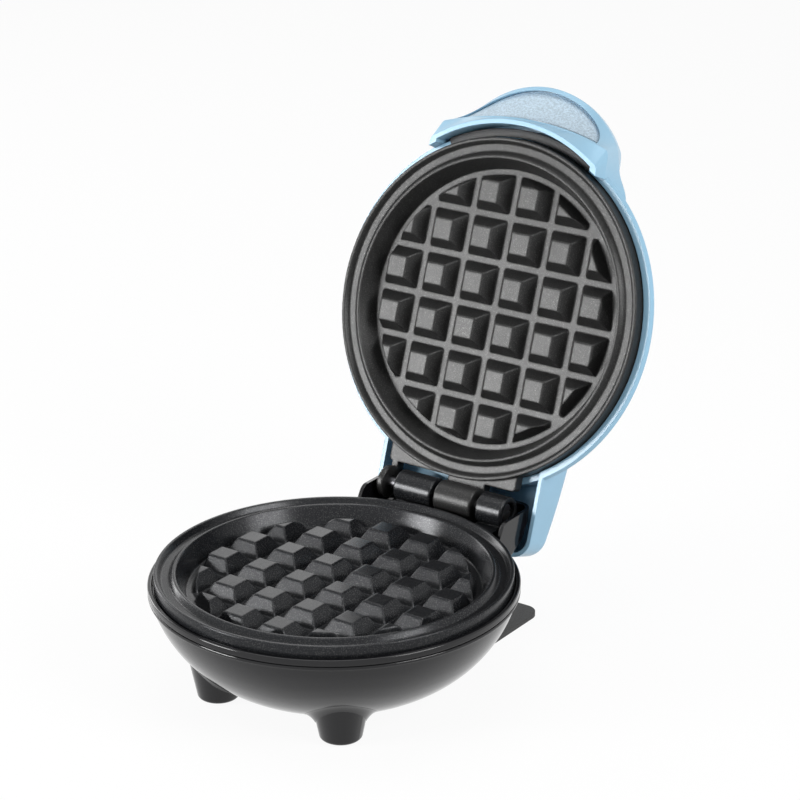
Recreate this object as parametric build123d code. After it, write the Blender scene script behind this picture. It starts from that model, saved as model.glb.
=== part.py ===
from build123d import *
import os
from math import cos, sin, radians, sqrt, degrees, atan2, asin

# Mini waffle maker, lid standing open. Millimetres, +Z up, hinge axis along X, front at -Y.
# The origin is on the worktop, under the middle of the lower cooking plate.

# Small working gaps between touching pieces
SEAT_GAP = 0.1
SCREW_FIT = 0.1

# Cooking plates: radii of the rings, heights measured down from each plate's rim
RIM_R = 59.5
RIM_IN_R = 58.4
MOAT_OUT_R = 57.2
MOAT_IN_R = 54.7
RIDGE_OUT_R = 53.2
RIDGE_IN_R = 52.3
FLOOR_R = 49.0
CELLS_R = 46.9
RIDGE_DROP = 0.1
MOAT_DEPTH = 1.9
FLOOR_DEPTH = 7.1
PLATE_FLOOR_T = 3.2
PLATE_WALL_T = 2.5
PLATE_WALL_DEPTH = 6.5
MOAT_FLOOR_T = 3.1
RIM_EDGE_R = 0.3

# Waffle cells
CELL_PITCH = 16.05
CELL_COUNT = 6
CELL_BASE = 13.7
CELL_TOP = 7.6
CELL_H = 5.0
CELL_CORNER_R = 0.9
CELL_EDGE_R = 0.8
CELL_ROUND_DRAFT = 1.9

# Heights of the two rims with the lid closed
LOWER_RIM_Z = 42.0
RIM_GAP = 1.2

# Hinge
HINGE_Y = 67.0
HINGE_Z = 43.5
OPEN_ANGLE = 108.8
BARREL_R = 5.7
PIN_R = 2.0
PIN_CLEAR = 0.04
KNUCKLE_A = (-26.9, -24.5)
KNUCKLE_B = (-19.7, -4.5)
KNUCKLE_C = (-2.9, 12.2)
KNUCKLE_D = (14.7, 24.9)
KNUCKLE_EDGE_R = 0.5
FLANGE_DROP = 2.5
FLANGE_T = 4.0
FLANGE_REACH = 59.7
FLANGE_LEFT = -28.2
FLANGE_RIGHT = 24.4
FLANGE_CORNER_R = 1.5
WEB_OVERLAP = 2.0
HEAD_R = 3.2
HEAD_T = 2.2
HEAD_RECESS_R = 3.9
HEAD_RECESS_DEPTH = 3.2
HEAD_SLOT_W = 0.9
HEAD_SLOT_DEPTH = 0.9
PIN_INSET = 0.3

# How far a cut runs past the face that it opens
CUT_PAST = 1.0

# Base bowl, the round shell that stands on the worktop
BOWL_RIM_R = 61.6
BOWL_TOP_Z = 35.9
BOWL_STEP_Z = 34.6
BOWL_LEDGE_Z = 35.2
BOWL_BOTTOM_Z = 6.7
BOWL_ARC_R = 44.1
BOWL_ARC_CENTRE_R = 18.4
BOWL_ARC_CENTRE_Z = 46.4
BOWL_WALL = 2.2
BOWL_HEEL_R = 5.0
BAND_EDGE_R = 0.5

# Trim ring on the bowl's edge
RING_TOP_Z = 38.3
RING_W = 1.6
RING_IN_R = BOWL_RIM_R - RING_W
RING_EDGE_R = 0.5
RING_GROOVE = 0.5
RING_TONGUE_T = 0.5
RING_TONGUE_R = RING_IN_R + RING_TONGUE_T
RING_TONGUE_H = 0.8

# Feet under the bowl
FOOT_X = 25.1
FOOT_Y = 31.1
FOOT_BOTTOM_R = 6.9
FOOT_TOP_R = 10.2
FOOT_TOP_Z = 17.0
FOOT_BOTTOM_Z = 0.4
FOOT_EDGE_R = 1.5
PAD_R = 4.6
PAD_T = 1.6
PAD_FIT = 0.05

# Hinge housing at the back of the base: height and how far back it reaches there
HOUSING_X = 30.0
HOUSING_WALL = 1.3
HOUSING_SECTIONS = (
    (14.0, 45.0),
    (20.0, 57.0),
    (26.5, 62.3),
    (30.6, 65.0),
    (34.2, 72.0),
    (40.0, 75.6),
    (44.6, 76.0),
)
HOUSING_TOP_Z = 44.6
HOUSING_START_Y = 38.0
HOUSING_NOSE = ((53.2, 38.3), (56.8, 44.6))
HOUSING_NOSE_R = 4.0
HOUSING_CORNER_R = 5.5
HOUSING_FLOOR_T = 1.5
NOTCH_CLEAR = 0.5

# Posts in the bowl that carry the lower plate and its reflector
POST_COUNT = 3
POST_CIRCLE_R = 22.0
POST_START = 90.0
POST_R = 4.8
POST_NECK_R = 3.5
PLATE_SCREW_R = 1.5
PLATE_SCREW_BITE = 2.4
PLATE_SCREW_HEAD_R = 2.8
PLATE_SCREW_HEAD_T = 1.8
SCREW_RECESS_Z = 10.0

# Stand plate: steadies the base behind, and the lead winds between it and the bowl
STAND_T = 1.5
STAND_X = 28.3
STAND_REAR_Y = 84.0
STAND_FRONT_Y = -16.0
STAND_CORNER_R = 5.5
STAND_NECK_X = 14.0
STAND_WIDE_Y = 41.0
STAND_POST_R = 4.0
STAND_POST_Y = (-9.0, 14.0)
STAND_SCREW_R = 1.5
STAND_SCREW_HEAD_R = 2.8
STAND_SCREW_HEAD_T = 0.8
STAND_SCREW_L = 7.0
STAND_SCREW_INSET = 0.1

# Heating elements and what holds them to the plates
ELEMENT_R = 36.0
ELEMENT_TUBE_R = 2.8
ELEMENT_ARC = 318.0
ELEMENT_PIN_R = 1.2
ELEMENT_PIN_L = 9.0
CLAMP_COUNT = 3
CLAMP_START = 30.0
CLAMP_REACH = 6.0
CLAMP_L = 17.0
CLAMP_W = 8.0
CLAMP_T = 0.8
CLAMP_BOSS_R = 2.2
CLAMP_SCREW_R = 1.2
CLAMP_SCREW_BITE = 4.0
CLAMP_SCREW_HEAD_R = 2.0
CLAMP_SCREW_HEAD_T = 1.0

# Reflectors behind the elements, heights measured down from each plate's rim
REFLECTOR_T = 0.5
REFLECTOR_DEPTH = 18.4
REFLECTOR_DISC_R = 44.6
REFLECTOR_CONE_R = 46.0
REFLECTOR_FLANGE_R = 51.5
REFLECTOR_FLANGE_DEPTH = 12.3
REFLECTOR_PIN_HOLE_R = 2.6

# Thermostat, thermal fuse and its strap
THERMOSTAT_R = 7.0
THERMOSTAT_H = 5.0
THERMOSTAT_EAR = 11.0
THERMOSTAT_EAR_W = 6.0
THERMOSTAT_EAR_T = 0.8
THERMOSTAT_TAB_W = 4.0
THERMOSTAT_TAB_T = 0.8
THERMOSTAT_TAB_L = 1.6
SMALL_SCREW_R = 1.2
SMALL_SCREW_HEAD_R = 2.2
SMALL_SCREW_HEAD_T = 1.2
SMALL_SCREW_BITE = 2.4
FUSE_R = 2.0
FUSE_L = 14.0
FUSE_LEAD_R = 0.5
FUSE_LEAD_L = 4.0
FUSE_Y = -15.0
STRAP_T = 0.5
STRAP_W = 5.0
STRAP_FOOT = 5.0

# Wiring block, earth tag and the bush where the mains lead goes in
BLOCK_SIZE = (24.0, 11.0, 8.0)
BLOCK_Y = -24.0
BLOCK_HOLE_R = 1.6
BLOCK_HOLE_PITCH = 7.5
BLOCK_SLOT_W = 0.6
BLOCK_SLOT_DEPTH = 1.0
BLOCK_SCREW_DEPTH = 3.0
TAG_SIZE = (6.0, 12.0, 0.8)
EARTH_Y = 34.0
EARTH_BOSS_R = 3.2
EARTH_BOSS_H = 3.0
INLET_Z = 14.0
INLET_FACE_Y = 57.5
INLET_BOSS_R = 7.4
INLET_R = 4.6
INLET_COLLAR_R = 6.4
INLET_COLLAR_T = 1.6
INLET_BODY_L = 8.0
INLET_BORE_R = 3.2

# Lid shell, heights measured back from the upper plate's rim
SHELL_RIM_DEPTH = 4.6
SHELL_IN_R = 59.9
SHELL_R = 62.3
SHELL_BEAD = ((62.9, 6.6), (61.8, 8.0))
SHELL_SHOULDER = (54.0, 22.6)
SHELL_SHOULDER_R = 14.0
SHELL_IN_STRAIGHT = 7.0
SHELL_IN_SHOULDER = (51.9, 20.6)
SHELL_IN_SHOULDER_R = 12.0
DOME_H = 27.8
SHELL_WALL = 2.0

# Handle at the front of the lid, as outlines at four depths: middle reach, side, waist, back
LIP_DEPTH = -1.0
LIP_OUTLINE = (65.8, (33.0, 55.5), (34.0, 51.0), (34.0, 46.0))
LIP_T = 1.6
STRIP_DEPTH = 4.5
STRIP_OUTLINE = (66.2, (32.5, 61.6), (34.5, 55.0), (35.5, 46.0))
ARCH_DEPTH = 16.3
ARCH_OUTLINE = (79.2, (30.2, 63.8), (33.8, 53.8), (38.2, 43.1))
ARCH_T = 1.5
BROW_DEPTH = 27.0
BROW_OUTLINE = (77.9, (27.8, 61.0), (27.0, 50.0), (27.0, 38.0))
HANDLE_TOP = ((83.0, 20.2), (62.0, 22.6), (36.0, 25.6))
HANDLE_CUT_DEPTH = 32.0
HANDLE_EDGE_R = 2.0
GRIP_RECESS = 2.2
GRIP_T = 1.4
GRIP_MARGIN = 0.7
TRENCH_IN_R = 62.0
TRENCH_STRAIGHT = 8.0
TRENCH_DEPTH = 14.5
TRENCH_SPREAD = 3.6

# Rear skirt of the lid, which covers the hinge
SKIRT_X = 33.1
SKIRT_REAR = 82.0
SKIRT_FRONT = 30.0
SKIRT_CORNER_R = 7.0
SKIRT_WALL = 1.5
SKIRT_TOP = ((86.0, 13.4), (66.0, 19.6), (28.0, 23.8))
SKIRT_EDGE_R = 2.5
HINGE_BAY_DEPTH = 7.2
HINGE_BAY_R = 61.9

# Black ring inside the lid that holds the upper plate
LINER_IN_R = 54.6
LINER_TOP_DEPTH = 12.2
LINER_STRAIGHT = 7.0
LINER_FAR_R = 56.6
LINER_FIT = 0.2
LINER_ARM_COUNT = 3
LINER_ARM_START = 90.0
LINER_ARM_W = 9.0
LINER_ARM_IN_R = 45.5
LINER_ARM_OUT_R = 55.6
LINER_SCREW_R = 49.3
HOLD_CIRCLE_R = 56.3
HOLD_START = 30.0
HOLD_BOSS_R = 2.6
HOLD_SEAT_DEPTH = 8.2
HOLD_SCREW_L = 6.4

# Indicator lamp in the back of the lid
LAMP_Y = 68.0
LENS_R = 3.0
LENS_FLANGE_R = 4.2
LENS_FLANGE_T = 1.1
LENS_SEAT_DEPTH = 15.8
LENS_TOP_DEPTH = 19.8
LENS_DOME_R = 0.9
LAMP_BOSS_R = 4.6
LAMP_R = 1.8
LAMP_L = 3.2
HOLDER_R = 3.6
HOLDER_L = 4.0
HOLDER_FLOOR_T = 0.6

# Levels that follow from the sizes above, measured up from a plate's rim
PLATE_UNDER = -(FLOOR_DEPTH + PLATE_FLOOR_T)
ELEMENT_LEVEL = PLATE_UNDER - SEAT_GAP - ELEMENT_TUBE_R
CLAMP_LEVEL = ELEMENT_LEVEL - ELEMENT_TUBE_R - SEAT_GAP
FLANGE_UNDER = -(FLANGE_DROP + FLANGE_T)
UPPER_RIM_Z = LOWER_RIM_Z + RIM_GAP
POST_SHOULDER_Z = LOWER_RIM_Z - REFLECTOR_DEPTH - REFLECTOR_T - SEAT_GAP
POST_TOP_Z = LOWER_RIM_Z + PLATE_UNDER - SEAT_GAP
BOWL_FLOOR_Z = BOWL_BOTTOM_Z + BOWL_WALL
EARTH_SEAT_Z = BOWL_FLOOR_Z + EARTH_BOSS_H
STAND_SEAT_Z = STAND_SCREW_INSET + STAND_SCREW_HEAD_T


def on_circle(radius, angle):
    """Gives the X and Y of a point on a circle about the plates' axis."""
    return radius * cos(radians(angle)), radius * sin(radians(angle))


def spread(radius, start, count):
    """Lists evenly spaced places on a circle about the plates' axis."""
    return [on_circle(radius, start + 360 * index / count) for index in range(count)]


def turned(profile):
    """Turns a closed outline of (radius, height) points about Z."""
    return revolve(Plane.XZ * make_face(Polyline(*profile, close=True)), Axis.Z)


def rod_x(y, z, radius, x_from, x_to):
    """Makes a round bar along X."""
    return Pos((x_from + x_to) / 2, y, z) * Rot(0, 90, 0) * Cylinder(radius, x_to - x_from)


def rod_y(x, z, radius, y_from, y_to):
    """Makes a round bar along Y."""
    return Pos(x, (y_from + y_to) / 2, z) * Rot(90, 0, 0) * Cylinder(radius, y_to - y_from)


def rod_z(x, y, radius, z_from, z_to):
    """Makes an upright round bar."""
    return Pos(x, y, (z_from + z_to) / 2) * Cylinder(radius, z_to - z_from)


def block(x_from, x_to, y_from, y_to, z_from, z_to):
    """Makes a box between two corners."""
    middle = Pos((x_from + x_to) / 2, (y_from + y_to) / 2, (z_from + z_to) / 2)
    return middle * Box(x_to - x_from, y_to - y_from, z_to - z_from)


def waffle_cell(column, row):
    """Makes one truncated pyramid that stands on the plate's floor."""
    taper = degrees(atan2((CELL_BASE - CELL_TOP) / 2, CELL_H))
    cell = extrude(RectangleRounded(CELL_BASE, CELL_BASE, CELL_CORNER_R), amount=CELL_H, taper=taper)
    cell = fillet(cell.faces().sort_by(Axis.Z)[-1].edges(), CELL_EDGE_R)
    return Pos(column * CELL_PITCH, row * CELL_PITCH, -FLOOR_DEPTH) * cell


def waffle_cells():
    """Makes all the cells of a plate, those at the edge cut by a cone about the plate's axis."""
    half = (CELL_COUNT - 1) / 2
    steps = [index - half for index in range(CELL_COUNT)]
    reach = CELL_BASE / sqrt(2)
    narrow = CELLS_R - CELL_ROUND_DRAFT
    cone = Pos(0, 0, -FLOOR_DEPTH + CELL_H / 2) * Cone(CELLS_R, narrow, CELL_H)
    cells = []
    for column in steps:
        for row in steps:
            centre = CELL_PITCH * sqrt(column * column + row * row)
            if centre - reach > narrow:
                continue
            cell = waffle_cell(column, row)
            cells.append(cell & cone if centre + reach > narrow else cell)
    return cells


def plate_dish():
    """Makes a cooking plate's round body with its rim at height zero and its dish facing up."""
    wall_in = RIM_R - PLATE_WALL_T
    moat_under = -(MOAT_DEPTH + MOAT_FLOOR_T)
    profile = [
        (0, -FLOOR_DEPTH),
        (FLOOR_R, -FLOOR_DEPTH),
        (RIDGE_IN_R, -RIDGE_DROP),
        (RIDGE_OUT_R, -RIDGE_DROP),
        (MOAT_IN_R, -MOAT_DEPTH),
        (MOAT_OUT_R, -MOAT_DEPTH),
        (RIM_IN_R, 0),
        (RIM_R, 0),
        (RIM_R, -PLATE_WALL_DEPTH),
        (wall_in, -PLATE_WALL_DEPTH),
        (wall_in, moat_under),
        (MOAT_IN_R, moat_under),
        (RIDGE_IN_R, PLATE_UNDER),
        (0, PLATE_UNDER),
    ]
    dish = turned(profile)
    rings = dish.edges().filter_by(GeomType.CIRCLE)
    return fillet([edge for edge in rings if edge.center().Z > -MOAT_DEPTH / 2], RIM_EDGE_R)


def hinge_flange(left, right):
    """Makes the flat flange that joins the knuckles to the plate's wall."""
    slab = block(left, right, 0, FLANGE_REACH, FLANGE_UNDER, -FLANGE_DROP)
    slab = fillet(slab.edges().filter_by(Axis.Z).group_by(Axis.Y)[-1], FLANGE_CORNER_R)
    return slab - rod_z(0, 0, RIM_R - PLATE_WALL_T / 2, FLANGE_UNDER, -FLANGE_DROP)


def knuckle(span, flange, axis_z):
    """Makes one hinge knuckle with its web, for a hinge axis at a given height from the rim."""
    barrel = rod_x(HINGE_Y, axis_z, BARREL_R, *span)
    barrel = fillet(barrel.edges().filter_by(GeomType.CIRCLE), KNUCKLE_EDGE_R)
    start = FLANGE_REACH - WEB_OVERLAP
    outline = Polyline(
        (start, FLANGE_UNDER),
        (start, -FLANGE_DROP),
        (HINGE_Y - PIN_R, -FLANGE_DROP),
        (HINGE_Y - PIN_R, FLANGE_UNDER),
        close=True,
    )
    left = max(span[0], flange[0])
    right = min(span[1], flange[1])
    web = extrude(Plane.YZ * make_face(outline), amount=right - left)
    return barrel + Pos(left, 0, 0) * web


def clamp_spots():
    """Lists the places of the bosses that take the clamps' screws."""
    inner = spread(ELEMENT_R - CLAMP_REACH, CLAMP_START, CLAMP_COUNT)
    return inner + spread(ELEMENT_R + CLAMP_REACH, CLAMP_START, CLAMP_COUNT)


def cooking_plate(knuckles, flange, axis_z, screw_holes):
    """Makes a whole cooking plate; screw_holes lists the place and radius of holes in its underside."""
    plate = plate_dish() + waffle_cells() + hinge_flange(*flange)
    for span in knuckles:
        plate += knuckle(span, flange, axis_z)
    for x, y in clamp_spots():
        plate += rod_z(x, y, CLAMP_BOSS_R, CLAMP_LEVEL + SEAT_GAP, PLATE_UNDER + SEAT_GAP)
        plate -= rod_z(x, y, CLAMP_SCREW_R + SCREW_FIT, CLAMP_LEVEL, CLAMP_LEVEL + CLAMP_SCREW_BITE)
    for x, y, radius in screw_holes:
        plate -= rod_z(x, y, radius + SCREW_FIT, PLATE_UNDER, PLATE_UNDER + PLATE_SCREW_BITE + SCREW_FIT)
    return plate - rod_x(HINGE_Y, axis_z, PIN_R + PIN_CLEAR, -BOWL_RIM_R, BOWL_RIM_R)


def element():
    """Makes a heating element: an open tube ring with its two connector pins."""
    half_gap = (360 - ELEMENT_ARC) / 2
    ring = revolve(Plane.XZ * Pos(ELEMENT_R, ELEMENT_LEVEL) * Circle(ELEMENT_TUBE_R), Axis.Z, ELEMENT_ARC)
    ring = Rot(0, 0, 90 + half_gap) * ring
    for angle in (90 + half_gap, 90 - half_gap):
        x, y = on_circle(ELEMENT_R, angle)
        ring += Pos(x, y, ELEMENT_LEVEL) * Sphere(ELEMENT_TUBE_R)
        ring += rod_z(x, y, ELEMENT_PIN_R, ELEMENT_LEVEL - ELEMENT_PIN_L, ELEMENT_LEVEL)
    return ring


def element_pin_spots():
    """Lists the places of an element's two connector pins."""
    half_gap = (360 - ELEMENT_ARC) / 2
    return [on_circle(ELEMENT_R, 90 + half_gap), on_circle(ELEMENT_R, 90 - half_gap)]


def clamps():
    """Makes the straps that hold an element against its plate."""
    straps = []
    for index in range(CLAMP_COUNT):
        angle = CLAMP_START + 360 * index / CLAMP_COUNT
        x, y = on_circle(ELEMENT_R, angle)
        strap = Box(CLAMP_L, CLAMP_W, CLAMP_T)
        strap = fillet(strap.edges().filter_by(Axis.Z), CLAMP_W / 4)
        for side in (-CLAMP_REACH, CLAMP_REACH):
            strap -= Pos(side, 0, 0) * Cylinder(CLAMP_SCREW_R + SCREW_FIT, CLAMP_T)
        straps.append(Pos(x, y, CLAMP_LEVEL - CLAMP_T / 2) * Rot(0, 0, angle) * strap)
    return Compound(children=straps)


def screw(shank_r, shank_l, head_r, head_t):
    """Makes a slotted screw with the seat of its head at height zero and its shank upwards."""
    head = Pos(0, 0, -head_t / 2) * Cylinder(head_r, head_t)
    head = fillet(head.edges().sort_by(Axis.Z)[0], head_t / 3)
    head -= Pos(0, 0, -head_t) * Box(2 * head_r, shank_r / 2, head_t)
    return head + Pos(0, 0, shank_l / 2) * Cylinder(shank_r, shank_l)


def screws_at(spots, level, one):
    """Repeats one screw at several places."""
    return Compound(children=[Pos(x, y, level) * one for x, y in spots])


def clamp_screws():
    """Makes the screws of the element clamps."""
    length = CLAMP_T + CLAMP_SCREW_BITE - SCREW_FIT
    one = screw(CLAMP_SCREW_R, length, CLAMP_SCREW_HEAD_R, CLAMP_SCREW_HEAD_T)
    return screws_at(clamp_spots(), CLAMP_LEVEL - CLAMP_T, one)


def reflector(spots, hole_r):
    """Makes the bright dish behind an element, with screw or post holes at the given places."""
    floor = -REFLECTOR_DEPTH
    flange = -REFLECTOR_FLANGE_DEPTH
    profile = [
        (0, floor),
        (REFLECTOR_DISC_R, floor),
        (REFLECTOR_CONE_R, flange),
        (REFLECTOR_FLANGE_R, flange),
        (REFLECTOR_FLANGE_R, flange - REFLECTOR_T),
        (REFLECTOR_CONE_R + REFLECTOR_T, flange - REFLECTOR_T),
        (REFLECTOR_DISC_R + REFLECTOR_T, floor - REFLECTOR_T),
        (0, floor - REFLECTOR_T),
    ]
    dish = turned(profile)
    for x, y in spots:
        dish -= rod_z(x, y, hole_r, floor - 2 * REFLECTOR_T, flange + REFLECTOR_T)
    for x, y in element_pin_spots():
        dish -= rod_z(x, y, REFLECTOR_PIN_HOLE_R, floor - 2 * REFLECTOR_T, floor + REFLECTOR_T)
    return dish


def thermostat():
    """Makes the disc thermostat, its ears against the plate, with two connector tabs."""
    top = PLATE_UNDER - SEAT_GAP
    body = rod_z(0, 0, THERMOSTAT_R, top - THERMOSTAT_H, top)
    ears = block(
        -THERMOSTAT_EAR - THERMOSTAT_EAR_W / 2,
        THERMOSTAT_EAR + THERMOSTAT_EAR_W / 2,
        -THERMOSTAT_EAR_W / 2,
        THERMOSTAT_EAR_W / 2,
        top - THERMOSTAT_EAR_T,
        top,
    )
    ears = fillet(ears.edges().filter_by(Axis.Z), THERMOSTAT_EAR_W / 3)
    body += ears
    low = top - THERMOSTAT_H - THERMOSTAT_TAB_L
    for x in (-THERMOSTAT_R / 2, THERMOSTAT_R / 2):
        body += Pos(x, 0, low + THERMOSTAT_TAB_L / 2) * Box(
            THERMOSTAT_TAB_T, THERMOSTAT_TAB_W, THERMOSTAT_TAB_L
        )
    for x, y in thermostat_spots():
        body -= rod_z(x, y, SMALL_SCREW_R + SCREW_FIT, top - THERMOSTAT_EAR_T, top)
    return body


def thermostat_spots():
    """Lists the places of the thermostat's two screws."""
    return [(-THERMOSTAT_EAR, 0), (THERMOSTAT_EAR, 0)]


def fuse_level():
    """Gives the height of the thermal fuse's axis below the plate."""
    return PLATE_UNDER - SEAT_GAP - FUSE_R


def thermal_fuse():
    """Makes the thermal fuse, a small can with a lead wire at each end."""
    can = rod_x(FUSE_Y, fuse_level(), FUSE_R, -FUSE_L / 2, FUSE_L / 2)
    can = fillet(can.edges().filter_by(GeomType.CIRCLE), FUSE_R / 4)
    half = FUSE_L / 2 + FUSE_LEAD_L
    return can + rod_x(FUSE_Y, fuse_level(), FUSE_LEAD_R, -half, half)


def strap_spots():
    """Lists the places of the fuse strap's two screws."""
    reach = FUSE_R + SEAT_GAP + STRAP_T + STRAP_FOOT / 2
    return [(0, FUSE_Y - reach), (0, FUSE_Y + reach)]


def fuse_strap():
    """Makes the strap that loops under the thermal fuse and screws to the plate."""
    hug = FUSE_R + SEAT_GAP
    level = fuse_level()
    foot_top = PLATE_UNDER - SEAT_GAP
    half = STRAP_W / 2
    loop = rod_x(FUSE_Y, level, hug + STRAP_T, -half, half)
    loop += block(-half, half, FUSE_Y - hug - STRAP_T, FUSE_Y + hug + STRAP_T, level, foot_top)
    reach = hug + STRAP_T + STRAP_FOOT
    loop += block(-half, half, FUSE_Y - reach, FUSE_Y + reach, foot_top - STRAP_T, foot_top)
    loop -= rod_x(FUSE_Y, level, hug, -half, half)
    loop -= block(-half, half, FUSE_Y - hug, FUSE_Y + hug, level, foot_top)
    bend = hug + STRAP_T
    loop -= block(-half, half, FUSE_Y - bend, FUSE_Y + bend, foot_top, PLATE_UNDER + STRAP_T)
    for x, y in strap_spots():
        loop -= rod_z(x, y, SMALL_SCREW_R + SCREW_FIT, foot_top - STRAP_T, foot_top)
    return loop


def post_spots():
    """Lists the places of the posts that carry the lower plate."""
    return spread(POST_CIRCLE_R, POST_START, POST_COUNT)


def liner_screw_spots():
    """Lists the places of the screws that hold the upper plate to its ring."""
    return spread(LINER_SCREW_R, LINER_ARM_START, LINER_ARM_COUNT)


def hold_spots():
    """Lists the places of the screws that hold the ring to the lid shell."""
    return spread(HOLD_CIRCLE_R, HOLD_START, LINER_ARM_COUNT)


def foot_spots():
    """Lists the places of the four feet."""
    return [(x, y) for x in (-FOOT_X, FOOT_X) for y in (-FOOT_Y, FOOT_Y)]


def to_base(shape):
    """Lifts a piece made about a plate's rim to the lower plate."""
    return Pos(0, 0, LOWER_RIM_Z) * shape


def to_lid(shape):
    """Puts a piece of the lid, made with depth behind the upper rim as height, where the lid stands."""
    swing = Pos(0, HINGE_Y, HINGE_Z) * Rot(-OPEN_ANGLE, 0, 0) * Pos(0, -HINGE_Y, -HINGE_Z)
    return swing * Pos(0, 0, UPPER_RIM_Z) * shape


def turned_over(shape):
    """Turns a piece made about a plate's rim over sideways, so that its depth becomes height."""
    return Rot(0, 180, 0) * shape


def swapped(span):
    """Swaps a stretch along X left for right, for a piece that will be turned over."""
    return -span[1], -span[0]


def bowl_point(radius, height):
    """Gives the point of the bowl's side curve at a height."""
    return BOWL_ARC_CENTRE_R + sqrt(radius**2 - (BOWL_ARC_CENTRE_Z - height) ** 2), height


def bowl_form(inset, bottom_z, top_z):
    """Makes the bowl's rounded form, drawn in by an inset."""
    curve_r = BOWL_ARC_R - inset
    low = bowl_point(curve_r, bottom_z)
    middle = bowl_point(curve_r, (bottom_z + top_z) / 2)
    high = bowl_point(curve_r, top_z)
    side = ThreePointArc(low, middle, high)
    rest = Polyline(high, (0, top_z), (0, bottom_z), low)
    form = revolve(Plane.XZ * make_face([side, rest]), Axis.Z)
    return fillet(form.edges().filter_by(GeomType.CIRCLE).sort_by(Axis.Z)[0], BOWL_HEEL_R)


def housing_form(half_width, rear_inset, lift, corner_r, top_lift):
    """Makes the housing's form by joining rounded outlines at several heights."""
    outlines = []
    for height, rear in HOUSING_SECTIONS:
        rear_y = rear - rear_inset
        depth = rear_y - HOUSING_START_Y
        corner = min(corner_r, depth / 3)
        sketch = Pos(0, HOUSING_START_Y, 0) * Rectangle(
            2 * half_width, depth, align=(Align.CENTER, Align.MIN)
        )
        sketch = fillet(sketch.vertices().group_by(Axis.Y)[-1], corner)
        level = height + lift + (top_lift if height == HOUSING_TOP_Z else 0)
        outlines.append(Pos(0, 0, level) * sketch)
    return loft(outlines, ruled=True)


def housing_side_limit():
    """Makes the side view of the housing's walls, which rise behind the bowl's edge in a rounded nose."""
    (low_y, low_z), (high_y, high_z) = HOUSING_NOSE
    outline = Polyline(
        (HOUSING_START_Y, 0),
        (HOUSING_START_Y, low_z),
        (low_y, low_z),
        (high_y, high_z),
        (HINGE_Y + SKIRT_REAR, high_z),
        (HINGE_Y + SKIRT_REAR, 0),
        close=True,
    )
    limit = extrude(Plane.YZ * make_face(outline), amount=BOWL_RIM_R, both=True)
    nose = [
        edge
        for edge in limit.edges().filter_by(Axis.X)
        if abs(edge.center().Y - high_y) < SEAT_GAP and abs(edge.center().Z - high_z) < SEAT_GAP
    ]
    return fillet(nose, HOUSING_NOSE_R)


def base_shell():
    """Makes the bowl with its housing, feet, posts and inlet boss."""
    bowl = bowl_form(0, BOWL_BOTTOM_Z, BOWL_STEP_Z)
    band = rod_z(0, 0, BOWL_RIM_R, BOWL_STEP_Z, BOWL_TOP_Z)
    bowl += fillet(band.edges().filter_by(GeomType.CIRCLE), BAND_EDGE_R)
    pocket = housing_form(
        HOUSING_X - HOUSING_WALL, HOUSING_WALL, HOUSING_FLOOR_T, HOUSING_CORNER_R - HOUSING_WALL, 1
    )
    housing = housing_form(HOUSING_X, 0, 0, HOUSING_CORNER_R, 0) & housing_side_limit()
    housing -= pocket
    housing -= rod_z(0, 0, RING_IN_R, BOWL_LEDGE_Z, HOUSING_TOP_Z + CUT_PAST)
    shell = bowl + housing
    for x, y in foot_spots():
        foot = Pos(x, y, (FOOT_BOTTOM_Z + FOOT_TOP_Z) / 2)
        foot *= Cone(FOOT_BOTTOM_R, FOOT_TOP_R, FOOT_TOP_Z - FOOT_BOTTOM_Z)
        shell += fillet(foot.edges().filter_by(GeomType.CIRCLE).sort_by(Axis.Z)[0], FOOT_EDGE_R)
    shell += rod_y(0, INLET_Z, INLET_BOSS_R, HOUSING_START_Y, INLET_FACE_Y)
    shell -= bowl_form(BOWL_WALL, BOWL_FLOOR_Z, BOWL_LEDGE_Z)
    shell -= rod_z(0, 0, RING_IN_R, BOWL_LEDGE_Z, BOWL_TOP_Z + CUT_PAST)
    shell -= rod_y(0, INLET_Z, INLET_R + SEAT_GAP, HOUSING_START_Y - CUT_PAST, INLET_FACE_Y)
    groove_floor = BOWL_TOP_Z - RING_TONGUE_H - SEAT_GAP
    groove = rod_z(0, 0, BOWL_RIM_R - RING_GROOVE + SEAT_GAP, groove_floor, BOWL_TOP_Z)
    groove -= rod_z(0, 0, RING_TONGUE_R - SEAT_GAP, groove_floor, BOWL_TOP_Z)
    shell -= groove - ring_gap()
    shell -= flange_notch()
    for x, y in post_spots():
        shell += rod_z(x, y, POST_R, BOWL_BOTTOM_Z, POST_SHOULDER_Z)
        shell += rod_z(x, y, POST_NECK_R, POST_SHOULDER_Z, POST_TOP_Z)
    for x, y in post_spots():
        shell -= rod_z(x, y, PLATE_SCREW_R + SCREW_FIT, SCREW_RECESS_Z, POST_TOP_Z)
        shell -= rod_z(x, y, PLATE_SCREW_HEAD_R + SCREW_FIT, 0, SCREW_RECESS_Z)
    for y in STAND_POST_Y:
        shell += rod_z(0, y, STAND_POST_R, STAND_T + SEAT_GAP, BOWL_FLOOR_Z)
        shell -= rod_z(0, y, STAND_SCREW_R + SCREW_FIT, STAND_T, STAND_SEAT_Z + STAND_SCREW_L + SCREW_FIT)
    for x, y in foot_spots():
        shell -= rod_z(x, y, PAD_R + PAD_FIT, 0, PAD_T)
    shell += rod_z(0, EARTH_Y, EARTH_BOSS_R, BOWL_BOTTOM_Z + BOWL_WALL / 2, EARTH_SEAT_Z)
    return shell - rod_z(0, EARTH_Y, SMALL_SCREW_R + SCREW_FIT, BOWL_FLOOR_Z, EARTH_SEAT_Z)


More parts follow.
